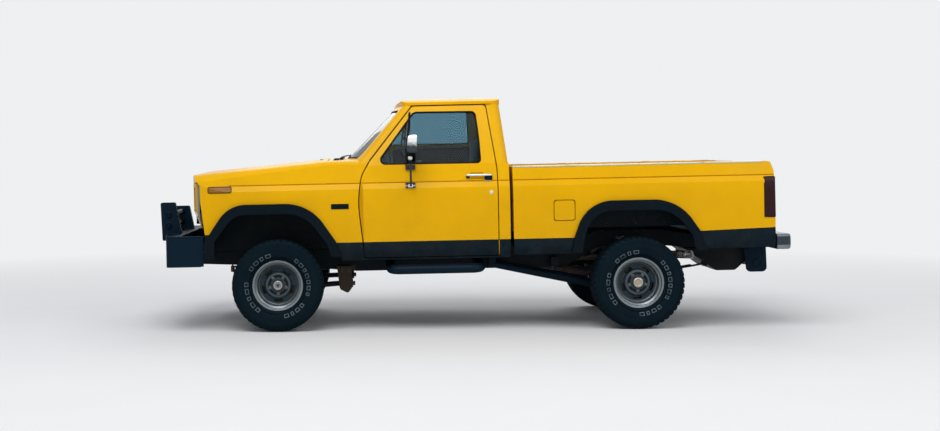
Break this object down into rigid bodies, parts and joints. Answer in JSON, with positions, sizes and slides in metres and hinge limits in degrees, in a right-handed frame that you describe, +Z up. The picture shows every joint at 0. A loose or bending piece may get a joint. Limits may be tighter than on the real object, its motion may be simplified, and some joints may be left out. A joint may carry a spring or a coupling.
{
  "type": "pickup truck",
  "caption": "Full-size two-door four-wheel-drive pickup truck with a short load bed, plate front bumper, push guard, step bars and receiver hitch.",
  "frame": {"origin": "on the road, under the middle of the truck's overall box", "axes": "+Z up, -X towards the truck's front, -Y towards its left (driver's) side"},
  "size_m": [5.2396, 2.344, 1.9359],
  "materials": {
    "paint": "aged yellow enamel",
    "bed_paint": "scuffed yellow enamel",
    "glass": "clear",
    "red_lens": "red lens",
    "clear_lens": "clear lens over a bright bowl",
    "amber_lens": "amber lens",
    "black_trim": "black",
    "black_steel": "black paint, worn",
    "chrome": "bright",
    "chassis": "black paint with rust",
    "damper_paint": "grey",
    "cast": "rough",
    "rusty_steel": "rusty",
    "cabin_plastic": "grained",
    "engine_paint": "dirty",
    "cast_aluminium": "cast",
    "exhaust_steel": "heat stained",
    "tank_steel": "dull",
    "seat_cloth": "woven",
    "tyre": "dusty black",
    "wheel_silver": "cast, satin"
  },
  "bodies": {
    "chassis": {"bed": "bed_paint", "bed_side_left": "paint", "bed_side_right": "paint", "cab": "paint", "dampers": "damper_paint", "dashboard": "cabin_plastic", "driveshafts": "rusty_steel", "engine": "engine_paint", "engine_bay": "chassis", "exhaust": "exhaust_steel", "fender_left": "paint", "fender_right": "paint", "frame": "chassis", "front_axle": "chassis", "front_bumper": "black_steel", "fuel_tank": "tank_steel", "gearbox": "cast_aluminium", "grille": "black_trim", "headlamps": "clear_lens", "hitch": "black_steel", "push_guard": "black_steel", "rear_axle": "chassis", "rear_bumper": "chrome", "rear_window": "glass", "seat": "seat_cloth", "springs": "chassis", "steering_box": "cast", "step_bars": "black_steel", "tail_lamps": "red_lens", "traction_bars": "black_steel", "tunnel_cover": "cabin_plastic", "turn_lamps": "amber_lens", "wheel_flares": "black_trim", "windshield": "glass"},
    "knuckle_left_body": {"knuckle_left": "cast"},
    "knuckle_right_body": {"knuckle_right": "cast"},
    "wheel_front_left": {"rim_front_left": "wheel_silver", "tire_front_left": "tyre"},
    "wheel_front_right": {"rim_front_right": "wheel_silver", "tire_front_right": "tyre"},
    "wheel_rear_left": {"rim_rear_left": "wheel_silver", "tire_rear_left": "tyre"},
    "wheel_rear_right": {"rim_rear_right": "wheel_silver", "tire_rear_right": "tyre"},
    "linkage": {"steering_linkage": "rusty_steel"},
    "pitman": {"pitman_arm": "rusty_steel"},
    "hand_wheel": {"steering_wheel": "cabin_plastic"},
    "door_left_body": {"door_left": "paint", "door_glass_left": "glass", "mirror_left": "chrome", "handle_left": "chrome"},
    "door_right_body": {"door_right": "paint", "door_glass_right": "glass", "mirror_right": "chrome", "handle_right": "chrome"},
    "hood_body": {"hood": "paint"},
    "tailgate_body": {"tailgate": "paint"},
    "fuel_door_body": {"fuel_door": "paint"}
  },
  "joints": [
    {"name": "steer_left", "type": "hinge", "parent": "chassis", "child": "knuckle_left_body", "pos_m": [-1.59719, -0.716, 0.38], "axis": [-0.0138, 0, 0.9999], "range_deg": [-28, 28]},
    {"name": "steer_right", "type": "hinge", "parent": "chassis", "child": "knuckle_right_body", "pos_m": [-1.59719, 0.716, 0.38], "axis": [-0.0138, 0, 0.9999], "range_deg": [-28, 28]},
    {"name": "linkage_turn", "type": "hinge", "parent": "knuckle_left_body", "child": "linkage", "pos_m": [-1.72156, -0.716, 0.33328], "axis": [-0.0138, 0, 0.9999], "range_deg": [-28, 28]},
    {"name": "pitman_turn", "type": "hinge", "parent": "chassis", "child": "pitman", "pos_m": [-1.89882, -0.31, 0.49585], "axis": [-0.0138, 0, 0.9999], "range_deg": [-28, 28]},
    {"name": "hand_wheel_turn", "type": "hinge", "parent": "chassis", "child": "hand_wheel", "pos_m": [-0.45937, -0.4, 1.27077], "axis": [0.8764, 0, 0.4816], "range_deg": [-476, 476]},
    {"name": "wheel_front_left_spin", "type": "hinge", "parent": "knuckle_left_body", "child": "wheel_front_left", "pos_m": [-1.59719, -0.827, 0.38], "axis": [0, 1, 0], "continuous": true},
    {"name": "wheel_rear_left_spin", "type": "hinge", "parent": "chassis", "child": "wheel_rear_left", "pos_m": [1.37009, -0.818, 0.38], "axis": [0, 1, 0], "continuous": true},
    {"name": "wheel_front_right_spin", "type": "hinge", "parent": "knuckle_right_body", "child": "wheel_front_right", "pos_m": [-1.59719, 0.827, 0.38], "axis": [0, 1, 0], "continuous": true},
    {"name": "wheel_rear_right_spin", "type": "hinge", "parent": "chassis", "child": "wheel_rear_right", "pos_m": [1.37009, 0.818, 0.38], "axis": [0, 1, 0], "continuous": true},
    {"name": "door_left_swing", "type": "hinge", "parent": "chassis", "child": "door_left_body", "pos_m": [-0.89381, -0.978, 1.00976], "axis": [0.0138, 0, -0.9999], "range_deg": [0, 65]},
    {"name": "door_right_swing", "type": "hinge", "parent": "chassis", "child": "door_right_body", "pos_m": [-0.89381, 0.978, 1.00976], "axis": [-0.0138, 0, 0.9999], "range_deg": [0, 65]},
    {"name": "hood_lift", "type": "hinge", "parent": "chassis", "child": "hood_body", "pos_m": [-1.21657, 0, 1.42535], "axis": [0, 1, 0], "range_deg": [0, 50]},
    {"name": "tailgate_drop", "type": "hinge", "parent": "chassis", "child": "tailgate_body", "pos_m": [2.47621, 0, 0.88621], "axis": [0, 1, 0], "range_deg": [0, 90]},
    {"name": "fuel_door_swing", "type": "hinge", "parent": "chassis", "child": "fuel_door_body", "pos_m": [0.67873, -0.98, 0.98144], "axis": [0.0138, 0, -0.9999], "range_deg": [0, 100]}
  ],
  "couplings": [
    {"joint": "steer_right", "follows": "steer_left", "ratio": 1},
    {"joint": "linkage_turn", "follows": "steer_left", "ratio": -1},
    {"joint": "pitman_turn", "follows": "steer_left", "ratio": 1},
    {"joint": "hand_wheel_turn", "follows": "steer_left", "ratio": 17}
  ]
}
